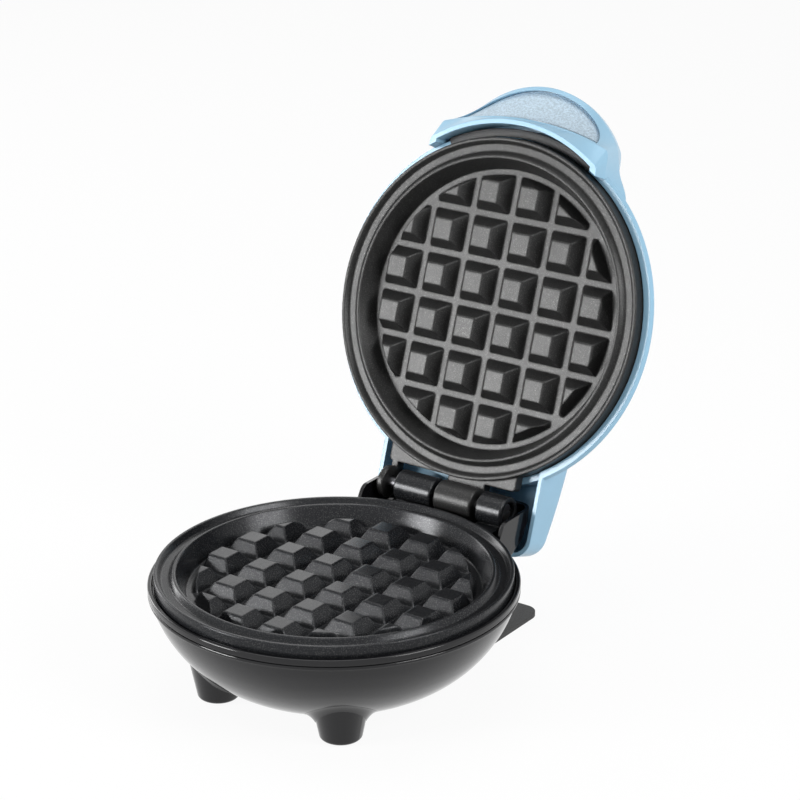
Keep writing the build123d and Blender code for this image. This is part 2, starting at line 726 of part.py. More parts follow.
def ring_gap():
    """Makes the width of the housing, where the trim ring stops."""
    reach = HOUSING_X + SEAT_GAP
    return block(-reach, reach, HOUSING_START_Y, SKIRT_REAR, 0, HOUSING_TOP_Z)


def flange_notch():
    """Makes the gap that the lower plate's flange needs in the bowl's edge."""
    bottom = LOWER_RIM_Z + FLANGE_UNDER - NOTCH_CLEAR
    side = HOUSING_X - HOUSING_WALL
    return block(-side, side, HOUSING_START_Y, HINGE_Y, bottom, HOUSING_TOP_Z)


def base_ring():
    """Makes the trim ring on the bowl's edge, stopping at the housing."""
    profile = [
        (RING_IN_R, BOWL_TOP_Z),
        (RING_IN_R, RING_TOP_Z),
        (BOWL_RIM_R, RING_TOP_Z),
        (BOWL_RIM_R, BOWL_TOP_Z + RING_GROOVE),
        (BOWL_RIM_R - RING_GROOVE, BOWL_TOP_Z + RING_GROOVE),
        (BOWL_RIM_R - RING_GROOVE, BOWL_TOP_Z - RING_TONGUE_H),
        (RING_TONGUE_R, BOWL_TOP_Z - RING_TONGUE_H),
        (RING_TONGUE_R, BOWL_TOP_Z),
    ]
    half_gap = degrees(asin((HOUSING_X + SEAT_GAP) / RING_IN_R))
    section = Plane.XZ * make_face(Polyline(*profile, close=True))
    top = section.vertices().group_by(Axis.Z)[-1]
    section = fillet(top, RING_EDGE_R)
    return Rot(0, 0, 90 + half_gap) * revolve(section, Axis.Z, 360 - 2 * half_gap)


def foot_pads():
    """Makes the rubber pads under the feet."""
    pads = [rod_z(x, y, PAD_R, 0, PAD_T - SEAT_GAP) for x, y in foot_spots()]
    return Compound(children=pads)


def stand_plate():
    """Makes the flat stand plate with its two countersunk screw holes."""
    plate = block(-STAND_X, STAND_X, STAND_WIDE_Y, STAND_REAR_Y, 0, STAND_T)
    plate = fillet(plate.edges().filter_by(Axis.Z), STAND_CORNER_R)
    neck = block(-STAND_NECK_X, STAND_NECK_X, STAND_FRONT_Y, STAND_WIDE_Y + STAND_CORNER_R, 0, STAND_T)
    plate += fillet(neck.edges().filter_by(Axis.Z).group_by(Axis.Y)[0], STAND_CORNER_R)
    for y in STAND_POST_Y:
        plate -= rod_z(0, y, STAND_SCREW_R + SCREW_FIT, 0, STAND_T)
        plate -= rod_z(0, y, STAND_SCREW_HEAD_R + SCREW_FIT, 0, STAND_SEAT_Z)
    return plate


def stand_screws():
    """Makes the screws of the stand plate."""
    one = screw(STAND_SCREW_R, STAND_SCREW_L, STAND_SCREW_HEAD_R, STAND_SCREW_HEAD_T)
    return screws_at([(0, y) for y in STAND_POST_Y], STAND_SEAT_Z, one)


def lower_plate():
    """Makes the lower plate about its rim."""
    holes = [(x, y, PLATE_SCREW_R) for x, y in post_spots()]
    holes += [(x, y, SMALL_SCREW_R) for x, y in thermostat_spots() + strap_spots()]
    flange = (FLANGE_LEFT, FLANGE_RIGHT)
    plate = cooking_plate((KNUCKLE_B, KNUCKLE_D), flange, HINGE_Z - LOWER_RIM_Z, holes)
    recess_from = KNUCKLE_D[1] - HEAD_RECESS_DEPTH
    return plate - rod_x(HINGE_Y, HINGE_Z - LOWER_RIM_Z, HEAD_RECESS_R, recess_from, KNUCKLE_D[1])


def upper_plate():
    """Makes the upper plate about its rim, its dish still facing up and its sides swapped."""
    holes = [(x, y, PLATE_SCREW_R) for x, y in liner_screw_spots()]
    knuckles = (swapped(KNUCKLE_A), swapped(KNUCKLE_C))
    flange = swapped((FLANGE_LEFT, FLANGE_RIGHT))
    return cooking_plate(knuckles, flange, UPPER_RIM_Z - HINGE_Z, holes)


def lower_plate_screws():
    """Makes the long screws that pull the lower plate onto its posts."""
    length = LOWER_RIM_Z + PLATE_UNDER + PLATE_SCREW_BITE - SCREW_RECESS_Z
    one = screw(PLATE_SCREW_R, length, PLATE_SCREW_HEAD_R, PLATE_SCREW_HEAD_T)
    return screws_at(post_spots(), SCREW_RECESS_Z, one)


def small_screws(spots, level, through):
    """Makes small screws whose heads seat at a level and whose shanks pass a thickness first."""
    length = through + SMALL_SCREW_BITE
    one = screw(SMALL_SCREW_R, length, SMALL_SCREW_HEAD_R, SMALL_SCREW_HEAD_T)
    return screws_at(spots, level, one)


def under_plate_screws():
    """Makes the screws of the thermostat and of the fuse strap."""
    top = PLATE_UNDER - SEAT_GAP
    ears = small_screws(thermostat_spots(), top - THERMOSTAT_EAR_T, THERMOSTAT_EAR_T)
    strap = small_screws(strap_spots(), top - STRAP_T, STRAP_T)
    return Compound(children=list(ears.children) + list(strap.children))


def terminal_block():
    """Makes the wiring block on the bowl's floor."""
    width, depth, height = BLOCK_SIZE
    body = block(
        -width / 2,
        width / 2,
        BLOCK_Y - depth / 2,
        BLOCK_Y + depth / 2,
        BOWL_FLOOR_Z + SEAT_GAP,
        BOWL_FLOOR_Z + height,
    )
    for x in block_columns():
        body -= rod_y(x, BOWL_FLOOR_Z + height / 2, BLOCK_HOLE_R, BLOCK_Y - depth, BLOCK_Y + depth)
        body -= rod_z(x, BLOCK_Y, BLOCK_HOLE_R, BOWL_FLOOR_Z + height / 2, BOWL_FLOOR_Z + height)
    return body


def block_columns():
    """Lists the X of the wiring block's three ways."""
    return (-BLOCK_HOLE_PITCH, 0, BLOCK_HOLE_PITCH)


def terminal_screws():
    """Makes the clamping screws in the wiring block."""
    top = BOWL_FLOOR_Z + BLOCK_SIZE[2]
    low = top - BLOCK_SCREW_DEPTH
    pieces = []
    for x in block_columns():
        one = rod_z(x, BLOCK_Y, BLOCK_HOLE_R - PAD_FIT, low, top - SEAT_GAP)
        near, far = BLOCK_Y - BLOCK_SLOT_W / 2, BLOCK_Y + BLOCK_SLOT_W / 2
        one -= block(x - BLOCK_HOLE_R, x + BLOCK_HOLE_R, near, far, top - BLOCK_SLOT_DEPTH, top)
        pieces.append(one)
    return Compound(children=pieces)


def earth_tag():
    """Makes the earth tag on its boss."""
    width, length, thick = TAG_SIZE
    low = EARTH_SEAT_Z + SEAT_GAP
    tag = block(-width / 2, width / 2, EARTH_Y - width / 2, EARTH_Y - width / 2 + length, low, low + thick)
    tag = fillet(tag.edges().filter_by(Axis.Z), width / 4)
    return tag - rod_z(0, EARTH_Y, SMALL_SCREW_R + SCREW_FIT, low, low + thick)


def earth_screw():
    """Makes the screw that holds the earth tag, its head upwards."""
    one = screw(SMALL_SCREW_R, TAG_SIZE[2] + SMALL_SCREW_BITE, SMALL_SCREW_HEAD_R, SMALL_SCREW_HEAD_T)
    return Pos(0, EARTH_Y, EARTH_SEAT_Z + SEAT_GAP + TAG_SIZE[2]) * turned_over(one)


def cord_inlet():
    """Makes the bush in the boss at the back of the bowl."""
    face = INLET_FACE_Y + SEAT_GAP
    collar = rod_y(0, INLET_Z, INLET_COLLAR_R, face, face + INLET_COLLAR_T)
    collar = fillet(collar.edges().sort_by(Axis.Y)[-1], INLET_COLLAR_T / 3)
    collar += rod_y(0, INLET_Z, INLET_R, face - INLET_BODY_L, face)
    return collar - rod_y(0, INLET_Z, INLET_BORE_R, face - INLET_BODY_L, face + INLET_COLLAR_T)


def hinge_pin():
    """Makes the hinge pin with its slotted head in the right-hand knuckle."""
    seat = KNUCKLE_D[1] - HEAD_RECESS_DEPTH + SEAT_GAP
    pin = rod_x(HINGE_Y, HINGE_Z, PIN_R, KNUCKLE_A[0] + PIN_INSET, seat)
    head = rod_x(HINGE_Y, HINGE_Z, HEAD_R, seat, seat + HEAD_T)
    head = fillet(head.edges().sort_by(Axis.X)[-1], KNUCKLE_EDGE_R)
    top = seat + HEAD_T
    slot = block(
        top - HEAD_SLOT_DEPTH,
        top,
        HINGE_Y - HEAD_R,
        HINGE_Y + HEAD_R,
        HINGE_Z - HEAD_SLOT_W / 2,
        HINGE_Z + HEAD_SLOT_W / 2,
    )
    return pin + (head - slot)


def dome_form(profile, shoulder, shoulder_r, apex):
    """Makes a domed form from its side profile, a rounded shoulder and a shallow crown."""
    drop = apex - shoulder[1]
    crown_r = (shoulder[0] ** 2 + drop**2) / (2 * drop)
    half_way = (shoulder[0] / 2, apex - crown_r + sqrt(crown_r**2 - shoulder[0] ** 2 / 4))
    crown = ThreePointArc(shoulder, half_way, (0, apex))
    start = profile[0]
    side = Polyline((0, apex), (0, start[1]), *profile, shoulder)
    form = revolve(Plane.XZ * make_face([crown, side]), Axis.Z)
    bend = form.edges().filter_by(GeomType.CIRCLE)
    bend = [edge for edge in bend if abs(edge.center().Z - shoulder[1]) < SEAT_GAP]
    return fillet(bend, shoulder_r)


def outline_points(outline):
    """Lists the points down one side of a handle outline and back up the other."""
    side, waist, back = outline[1:]
    points = [(side[0], -side[1]), (waist[0], -waist[1]), (back[0], -back[1])]
    return points, [(-x, y) for x, y in reversed(points)]


def straight_outline(outline, depth):
    """Draws one outline of the handle with straight flanks, for the cuts inside it."""
    points, other = outline_points(outline)
    front = ThreePointArc(other[-1], (0, -outline[0]), points[0])
    return Pos(0, 0, depth) * make_face([front, Polyline(*points, *other)])


def handle_outline(outline, depth):
    """Draws one outline of the handle at a depth, with flanks that curve into its front."""
    points, other = outline_points(outline)
    front = ThreePointArc(other[-1], (0, -outline[0]), points[0])
    flank = Spline(*points, tangents=(front % 1, (0, 1)))
    far_flank = Spline(*other, tangents=((0, -1), front % 0))
    rear = Line(points[-1], other[0])
    return Pos(0, 0, depth) * make_face([front, flank, rear, far_flank])


def handle_form():
    """Makes the outside of the handle, from the lip out to the arch and up to its top."""
    sections = [
        handle_outline(LIP_OUTLINE, LIP_DEPTH),
        handle_outline(STRIP_OUTLINE, STRIP_DEPTH),
        handle_outline(ARCH_OUTLINE, ARCH_DEPTH),
    ]
    brow = [handle_outline(ARCH_OUTLINE, ARCH_DEPTH), handle_outline(BROW_OUTLINE, BROW_DEPTH)]
    return loft(sections, ruled=True), loft(brow, ruled=True)


def above_curve(points, sign):
    """Makes the space above a curve of (distance from the middle, depth), for trimming a top."""
    placed = [(sign * out, depth) for out, depth in points]
    curve = Spline(*placed)
    first, last = placed[0], placed[-1]
    rest = Polyline(last, (last[0], HANDLE_CUT_DEPTH), (first[0], HANDLE_CUT_DEPTH), first)
    return extrude(Plane.YZ * make_face([curve, rest]), amount=SHELL_R, both=True)


def grip_outline(margin):
    """Draws the grip panel's lens shape as seen along the depth."""
    reach, side = ARCH_OUTLINE[0], ARCH_OUTLINE[1]
    inner = ARCH_T + margin
    corner_x = side[0] - ARCH_T - 3 * margin
    corner_y = side[1] - 2 * ARCH_T / 3 + 1.5 * margin
    top = ThreePointArc((-corner_x, -corner_y), (0, -reach + inner), (corner_x, -corner_y))
    base_y = STRIP_OUTLINE[0] + GRIP_MARGIN + margin
    bottom = ThreePointArc((corner_x, -corner_y), (0, -base_y), (-corner_x, -corner_y))
    return make_face([top, bottom])


def grip_slice(margin, start, stop):
    """Makes a layer of the handle behind its underside, within the grip panel's outline."""
    lens = Pos(0, 0, STRIP_DEPTH) * extrude(grip_outline(margin), amount=HANDLE_CUT_DEPTH)
    under = [straight_outline(STRIP_OUTLINE, STRIP_DEPTH), straight_outline(ARCH_OUTLINE, ARCH_DEPTH)]
    solid_above = loft(under, ruled=True) + extrude(under[1], amount=HANDLE_CUT_DEPTH)
    return lens & (Pos(0, 0, start) * solid_above - Pos(0, 0, stop) * solid_above)


def trench():
    """Makes the deep slot between the lid's round wall and its lip."""
    reach, side, waist, back = LIP_OUTLINE
    inset = LIP_T
    narrow = (reach - inset, (side[0] - inset, side[1] - inset / 2), (side[0] - inset, waist[1]), back)
    wide = (
        reach - inset + TRENCH_SPREAD,
        (side[0] - inset, side[1] + TRENCH_SPREAD / 2),
        (side[0] - inset, waist[1]),
        back,
    )
    start = LIP_DEPTH - CUT_PAST
    straight = extrude(straight_outline(narrow, start), amount=TRENCH_STRAIGHT - start)
    deep = loft([straight_outline(narrow, TRENCH_STRAIGHT), straight_outline(wide, TRENCH_DEPTH)], ruled=True)
    return straight + deep - rod_z(0, 0, TRENCH_IN_R, SHELL_RIM_DEPTH, HANDLE_CUT_DEPTH)


def skirt_prism(inset, rear_inset, low, high):
    """Makes the skirt's plan shape as an upright block."""
    half = SKIRT_X - inset
    rear = SKIRT_REAR - rear_inset
    prism = block(-half, half, SKIRT_FRONT, rear, low, high)
    corners = prism.edges().filter_by(Axis.Z).group_by(Axis.Y)[-1]
    return fillet(corners, SKIRT_CORNER_R - inset)


def rounded_top(form, level, radius):
    """Rounds the upper outer edges of a trimmed form."""
    edges = []
    for edge in form.edges():
        box = edge.bounding_box()
        flat_enough = box.size.Z < max(box.size.X, box.size.Y)
        if box.min.Z > level and flat_enough:
            edges.append(edge)
    return fillet(edges, radius)


def lid_shell():
    """Makes the blue lid shell: dome, rear skirt and handle in one piece."""
    rim = [(SHELL_R, SHELL_RIM_DEPTH), *SHELL_BEAD]
    dome = dome_form(rim, SHELL_SHOULDER, SHELL_SHOULDER_R, DOME_H)
    skirt = skirt_prism(0, 0, SHELL_RIM_DEPTH, HANDLE_CUT_DEPTH) - above_curve(SKIRT_TOP, 1)
    skirt = rounded_top(skirt, SHELL_RIM_DEPTH + CUT_PAST, SKIRT_EDGE_R)
    lower, upper = handle_form()
    upper = rounded_top(upper - above_curve(HANDLE_TOP, -1), ARCH_DEPTH + CUT_PAST, HANDLE_EDGE_R)
    shell = dome + skirt + lower + upper
    shell -= grip_slice(0, 0, GRIP_RECESS + GRIP_T + SEAT_GAP)
    shell -= trench()
    shell -= rod_z(0, 0, TRENCH_IN_R, LIP_DEPTH - CUT_PAST, SHELL_RIM_DEPTH)
    inside = [(SHELL_IN_R, SHELL_RIM_DEPTH), (SHELL_IN_R, SHELL_IN_STRAIGHT)]
    cavity = dome_form(inside, SHELL_IN_SHOULDER, SHELL_IN_SHOULDER_R, DOME_H - SHELL_WALL)
    shell -= cavity
    bay = skirt_prism(SKIRT_WALL, SKIRT_WALL, SHELL_RIM_DEPTH, HANDLE_CUT_DEPTH)
    bay -= Pos(0, 0, -SKIRT_WALL) * above_curve(SKIRT_TOP, 1)
    bay -= rod_z(0, 0, HINGE_BAY_R, HINGE_BAY_DEPTH, HANDLE_CUT_DEPTH)
    shell -= bay
    bosses = rod_z(0, LAMP_Y, LAMP_BOSS_R, LENS_SEAT_DEPTH, LENS_TOP_DEPTH) - above_curve(SKIRT_TOP, 1)
    shell += bosses
    shell -= rod_z(0, LAMP_Y, LENS_R + SEAT_GAP, 0, HANDLE_CUT_DEPTH)
    outer = dome_form(rim, SHELL_SHOULDER, SHELL_SHOULDER_R, DOME_H - SHELL_WALL / 2)
    for x, y in hold_spots():
        shell += rod_z(x, y, HOLD_BOSS_R, LINER_TOP_DEPTH + SEAT_GAP, HANDLE_CUT_DEPTH) & outer
        top = HOLD_SEAT_DEPTH + HOLD_SCREW_L + SCREW_FIT
        shell -= rod_z(x, y, SMALL_SCREW_R + SCREW_FIT, HOLD_SEAT_DEPTH, top)
    return shell


def grip_panel():
    """Makes the textured panel in the handle's underside."""
    return grip_slice(SEAT_GAP, GRIP_RECESS, GRIP_RECESS + GRIP_T)


def lid_liner():
    """Makes the black ring in the lid with its three arms."""
    near = PLATE_WALL_DEPTH + SEAT_GAP
    out = SHELL_IN_R - LINER_FIT
    profile = [
        (LINER_IN_R, near),
        (out, near),
        (out, LINER_STRAIGHT - LINER_FIT),
        (LINER_FAR_R, LINER_TOP_DEPTH),
        (LINER_IN_R, LINER_TOP_DEPTH),
    ]
    ring = turned(profile)
    arm_near = -PLATE_UNDER + SEAT_GAP
    for index in range(LINER_ARM_COUNT):
        angle = LINER_ARM_START + 360 * index / LINER_ARM_COUNT
        half = LINER_ARM_W / 2
        arm = block(LINER_ARM_IN_R, LINER_ARM_OUT_R, -half, half, arm_near, LINER_TOP_DEPTH)
        ring += Rot(0, 0, angle) * arm
    for x, y in liner_screw_spots():
        ring -= rod_z(x, y, PLATE_SCREW_R + SCREW_FIT, arm_near, LINER_TOP_DEPTH)
    for x, y in hold_spots():
        ring -= rod_z(x, y, SMALL_SCREW_R + SCREW_FIT, near, LINER_TOP_DEPTH)
        ring -= rod_z(x, y, SMALL_SCREW_HEAD_R + SCREW_FIT, near, HOLD_SEAT_DEPTH)
    return ring


def liner_screws():
    """Makes the screws that hold the ring to the lid shell."""
    one = screw(SMALL_SCREW_R, HOLD_SCREW_L, SMALL_SCREW_HEAD_R, SMALL_SCREW_HEAD_T)
    return screws_at(hold_spots(), HOLD_SEAT_DEPTH, one)


def upper_plate_screws():
    """Makes the screws that clamp the reflector, ring and upper plate together."""
    seat = REFLECTOR_FLANGE_DEPTH + REFLECTOR_T + SEAT_GAP
    length = seat + PLATE_UNDER + PLATE_SCREW_BITE
    one = screw(PLATE_SCREW_R, length, PLATE_SCREW_HEAD_R, PLATE_SCREW_HEAD_T)
    return screws_at(liner_screw_spots(), seat, turned_over(one))


def lamp_lens():
    """Makes the clear red lens of the indicator lamp."""
    lens = rod_z(0, LAMP_Y, LENS_R, LENS_SEAT_DEPTH - SEAT_GAP, LENS_TOP_DEPTH)
    lens = fillet(lens.edges().filter_by(GeomType.CIRCLE).sort_by(Axis.Z)[-1], LENS_DOME_R)
    low = LENS_SEAT_DEPTH - SEAT_GAP - LENS_FLANGE_T
    return lens + rod_z(0, LAMP_Y, LENS_FLANGE_R, low, LENS_SEAT_DEPTH - SEAT_GAP)


def holder_top():
    """Gives the depth at which the lamp holder meets the lens."""
    return LENS_SEAT_DEPTH - 2 * SEAT_GAP - LENS_FLANGE_T


def lamp_holder():
    """Makes the cup that holds the lamp behind the lens."""
    top = holder_top()
    cup = rod_z(0, LAMP_Y, HOLDER_R, top - HOLDER_L, top)
    return cup - rod_z(0, LAMP_Y, LAMP_R + SEAT_GAP, top - HOLDER_L + HOLDER_FLOOR_T, top)


def lamp():
    """Makes the small indicator lamp."""
    low = holder_top() - HOLDER_L + HOLDER_FLOOR_T + SEAT_GAP
    bulb = rod_z(0, LAMP_Y, LAMP_R, low, low + LAMP_L)
    return fillet(bulb.edges().filter_by(GeomType.CIRCLE).sort_by(Axis.Z)[-1], LAMP_R / 2)


def write(name, shape):
    """Writes one piece of the assembly."""
    export_step(shape, f"parts/{name}.step")


def write_base():
    """Writes the pieces that stand still."""
    write("base_shell", base_shell())
    write("base_ring", base_ring())
    write("foot_pads", foot_pads())
    write("stand_plate", stand_plate())
    write("stand_screws", stand_screws())
    write("lower_plate", to_base(lower_plate()))
    write("lower_plate_screws", lower_plate_screws())
    write("lower_element", to_base(element()))
    write("lower_clamps", to_base(clamps()))
    write("lower_clamp_screws", to_base(clamp_screws()))
    write("lower_reflector", to_base(reflector(post_spots(), POST_NECK_R + SEAT_GAP)))
    write("thermostat", to_base(thermostat()))
    write("under_plate_screws", to_base(under_plate_screws()))
    write("thermal_fuse", to_base(thermal_fuse()))
    write("fuse_strap", to_base(fuse_strap()))
    write("terminal_block", terminal_block())
    write("terminal_screws", terminal_screws())
    write("earth_tag", earth_tag())
    write("earth_screw", earth_screw())
    write("cord_inlet", cord_inlet())
    write("hinge_pin", hinge_pin())


def write_lid():
    """Writes the pieces that swing."""
    write("lid_shell", to_lid(lid_shell()))
    write("grip_panel", to_lid(grip_panel()))
    write("lid_liner", to_lid(lid_liner()))
    write("liner_screws", to_lid(liner_screws()))
    write("upper_plate", to_lid(turned_over(upper_plate())))
    write("upper_plate_screws", to_lid(upper_plate_screws()))
    write("upper_element", to_lid(turned_over(element())))
    write("upper_clamps", to_lid(turned_over(clamps())))
    write("upper_clamp_screws", to_lid(turned_over(clamp_screws())))
    dish = reflector(liner_screw_spots(), PLATE_SCREW_R + SCREW_FIT)
    write("upper_reflector", to_lid(turned_over(dish)))
    write("lamp_lens", to_lid(lamp_lens()))
    write("lamp", to_lid(lamp()))
    write("lamp_holder", to_lid(lamp_holder()))


os.makedirs("parts", exist_ok=True)
write_base()
write_lid()
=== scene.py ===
"""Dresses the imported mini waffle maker, whose lid stands open, and lights it in a plain studio."""

import logging
import math
from dataclasses import dataclass
from enum import Enum

import bmesh
import bpy
from mathutils import Matrix, Vector


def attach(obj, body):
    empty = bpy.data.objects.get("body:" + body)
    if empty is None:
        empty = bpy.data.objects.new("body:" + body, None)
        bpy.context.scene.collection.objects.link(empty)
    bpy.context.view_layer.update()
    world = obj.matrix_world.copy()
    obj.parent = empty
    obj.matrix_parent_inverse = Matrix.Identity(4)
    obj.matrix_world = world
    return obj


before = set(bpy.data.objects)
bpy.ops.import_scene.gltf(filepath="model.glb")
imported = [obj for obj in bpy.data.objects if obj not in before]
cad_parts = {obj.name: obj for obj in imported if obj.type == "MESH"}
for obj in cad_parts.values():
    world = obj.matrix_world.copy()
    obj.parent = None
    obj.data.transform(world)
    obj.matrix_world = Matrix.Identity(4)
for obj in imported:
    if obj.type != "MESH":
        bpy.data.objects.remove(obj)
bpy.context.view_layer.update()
LOG = logging.getLogger("waffle_maker")

Colour = tuple[float, float, float]
MM = 0.001
OPAQUE = 1.0
MERGE_REACH = 0.01 * MM
SMOOTH_ANGLE = math.radians(35)

# Rays that each point sends out to soften an edge
EDGE_SAMPLES = 6

# Places of the sockets that a colour Mix node uses
MIX_FACTOR, MIX_FIRST, MIX_SECOND, MIX_RESULT = 0, 6, 7, 2


class Body(Enum):
    """The two rigid bodies of the cooker."""

    BASE = "base"
    LID = "lid"


class Coat(Enum):
    """The finishes that the cooker's pieces wear."""

    BLUE = "lid_blue_gloss"
    GRIP = "grip_blue_texture"
    BOWL = "bowl_black_gloss"
    RING = "ring_black_gloss"
    LINER = "liner_black"
    STAND = "stand_grey"
    UPPER_COATING = "nonstick_upper"
    # The lower coating's darker colour is painted shade.
    SHADED_LOWER_COATING = "nonstick_lower_shaded"
    BRIGHT = "screw_steel"
    DARK = "pin_steel"
    TIN = "reflector_tin"
    BRASS = "tag_brass"
    RUBBER = "pad_rubber"
    CERAMIC = "white_ceramic"
    LENS = "lamp_red"


class Wire:
    """A shader value that turns Python maths into Math nodes."""

    def __init__(self, tree: bpy.types.NodeTree, socket: bpy.types.NodeSocket) -> None:
        """Wraps an output socket.

        Args:
            tree: The node tree that the socket is in.
            socket: The output socket.
        """
        self.tree = tree
        self.socket = socket

    def _maths(self, operation: str, first: "Wire | float", second: "Wire | float") -> "Wire":
        """Adds one Math node.

        Args:
            operation: The Math node's operation.
            first: Its first value.
            second: Its second value.

        Returns:
            The node's result.
        """
        node = self.tree.nodes.new("ShaderNodeMath")
        node.operation = operation
        for index, value in enumerate((first, second)):
            if isinstance(value, Wire):
                self.tree.links.new(value.socket, node.inputs[index])
            else:
                node.inputs[index].default_value = value
        return Wire(self.tree, node.outputs[0])

    def __add__(self, other: "Wire | float") -> "Wire":
        """Adds."""
        return self._maths("ADD", self, other)

    __radd__ = __add__

    def __mul__(self, other: "Wire | float") -> "Wire":
        """Multiplies."""
        return self._maths("MULTIPLY", self, other)

    __rmul__ = __mul__

    def at_most(self, other: "Wire | float") -> "Wire":
        """Takes the smaller value."""
        return self._maths("MINIMUM", self, other)


class Recipe:
    """Builds the nodes of one material."""

    def __init__(self, name: str) -> None:
        """Starts a material with a Principled shader.

        Args:
            name: The material's name.
        """
        self.material = bpy.data.materials.new(name)
        self.material.use_nodes = True
        self.tree = self.material.node_tree
        self.tree.nodes.clear()
        self.output = self.node("ShaderNodeOutputMaterial")
        self.shader = self.node("ShaderNodeBsdfPrincipled")
        self.tree.links.new(self.shader.outputs[0], self.output.inputs["Surface"])
        self.place = self.wire(self.node("ShaderNodeTexCoord"), "Object")

    def node(self, kind: str, settings: dict | None = None, **values: object) -> bpy.types.Node:
        """Adds a node, sets it and then fills its sockets.

        Args:
            kind: The node's type.
            settings: Its settings, such as a Math node's operation.
            **values: Socket values or wires, by socket name with underscores for spaces.

        Returns:
            The node.
        """
        made = self.tree.nodes.new(kind)
        for key, value in (settings or {}).items():
            setattr(made, key, value)
        for key, value in values.items():
            self.feed(made, key.replace("_", " "), value)
        return made

    def feed(self, node: bpy.types.Node, name: str | int, value: object) -> None:
        """Sets or links one socket.

        Args:
            node: The node.
            name: The socket's name, or its place among the node's inputs.
            value: A number, a colour or a wire.
        """
        socket = node.inputs[name]
        if isinstance(value, Wire):
            self.tree.links.new(value.socket, socket)
        else:
            socket.default_value = value

    def shade(self, **values: object) -> bpy.types.Material:
        """Fills sockets of the Principled shader.

        Args:
            **values: Socket values or wires, by socket name with underscores for spaces.

        Returns:
            The finished material.
        """
        for key, value in values.items():
            self.feed(self.shader, key.replace("_", " "), value)
        return self.material

    def wire(self, node: bpy.types.Node, output: str | int = 0) -> Wire:
        """Wraps a node's output."""
        return Wire(self.tree, node.outputs[output])

    def noise(self, scale: float, detail: float = 2.0, roughness: float = 0.5) -> Wire:
        """Makes a soft noise over the piece.

        Args:
            scale: Spots per metre.
            detail: How much fine noise is added.
            roughness: How strong the fine noise is.

        Returns:
            The noise, about 0.5 in the middle.
        """
        made = self.node(
            "ShaderNodeTexNoise", Vector=self.place, Scale=scale, Detail=detail, Roughness=roughness
        )
        return self.wire(made, "Fac")

    def grains(self, scale: float) -> Wire:
        """Makes rounded grains over the piece.

        Args:
            scale: Grains per metre.

        Returns:
            The distance from each grain's middle.
        """
        made = self.node("ShaderNodeTexVoronoi", Vector=self.place, Scale=scale)
        return self.wire(made, "Distance")

    def ramp(self, value: Wire, low: float, high: float) -> Wire:
        """Stretches a band of a value to run from 0 to 1.

        Args:
            value: The value.
            low: Where the band starts.
            high: Where it ends.

        Returns:
            The stretched value.
        """
        smooth = {"interpolation_type": "SMOOTHSTEP"}
        made = self.node("ShaderNodeMapRange", smooth, Value=value, From_Min=low, From_Max=high)
        return self.wire(made, "Result")

    def blend(self, factor: Wire, first: Colour, second: Colour) -> Wire:
        """Mixes two colours.

        Args:
            factor: 0 for the first colour and 1 for the second.
            first: The first colour.
            second: The second colour.

        Returns:
            The mixed colour.
        """
        made = self.node("ShaderNodeMix", {"data_type": "RGBA"})
        self.feed(made, MIX_FACTOR, factor)
        self.feed(made, MIX_FIRST, (*first, OPAQUE))
        self.feed(made, MIX_SECOND, (*second, OPAQUE))
        return self.wire(made, MIX_RESULT)

    def toned(self, colour: Colour, share: float, tone: Wire) -> Wire:
        """Varies a colour between a deeper one and itself.

        Args:
            colour: The colour.
            share: How much of it the deeper one keeps.
            tone: 0 for the deeper one and 1 for the colour.

        Returns:
            The varied colour.
        """
        return self.blend(tone, tuple(channel * share for channel in colour), colour)

    def bump(self, height: Wire, depth: float, strength: float, edge: float) -> Wire:
        """Turns a height into a bumped normal on softened edges.

        Args:
            height: The height.
            depth: The bump's depth in metres.
            strength: How strongly it shows.
            edge: How far in metres an edge is softened.

        Returns:
            The normal.
        """
        soft = self.wire(
            self.node("ShaderNodeBevel", {"samples": EDGE_SAMPLES}, Radius=edge), "Normal"
        )
        made = self.node(
            "ShaderNodeBump", Height=height, Distance=depth, Strength=strength, Normal=soft
        )
        return self.wire(made, "Normal")


@dataclass(frozen=True)
class GlossPlastic:
    """Polished moulded plastic, with a faint waviness and a few dull patches.

    Attributes:
        name: The material's name.
        colour: The plastic's colour.
        roughness: How dull its polish is.
        coat: How strong the clear top layer is.
        ripple: How strong the moulding's waviness is.
        shine: How strongly the plastic itself reflects.
        clouds: Clouds of tone per metre.
        cloud_share: How much of its colour a cloud keeps.
        smears: Dull smears per metre.
        smear_depth: How much duller they are.
        coat_roughness: How dull the clear layer is.
        waves: Waves of the moulding per metre.
        wave_depth: Their depth in metres.
        edge: How far in metres its edges are softened.
    """

    name: str
    colour: Colour
    roughness: float
    coat: float
    ripple: float
    shine: float
    clouds: float = 28.0
    cloud_share: float = 0.94
    smears: float = 160.0
    smear_depth: float = 0.04
    coat_roughness: float = 0.05
    waves: float = 45.0
    wave_depth: float = 2.0 * MM
    edge: float = 0.4 * MM

    def make(self) -> bpy.types.Material:
        """Builds the material.

        Returns:
            The material.
        """
        recipe = Recipe(self.name)
        tone = recipe.ramp(recipe.noise(self.clouds), low=0.3, high=0.7)
        smear = recipe.noise(self.smears, detail=4.0)
        wave = recipe.noise(self.waves, detail=1.0)
        return recipe.shade(
            Base_Color=recipe.toned(self.colour, self.cloud_share, tone),
            Roughness=self.roughness + self.smear_depth * smear,
            Coat_Weight=self.coat,
            Coat_Roughness=self.coat_roughness,
            Specular_IOR_Level=self.shine,
            Normal=recipe.bump(wave, self.wave_depth, self.ripple, self.edge),
        )


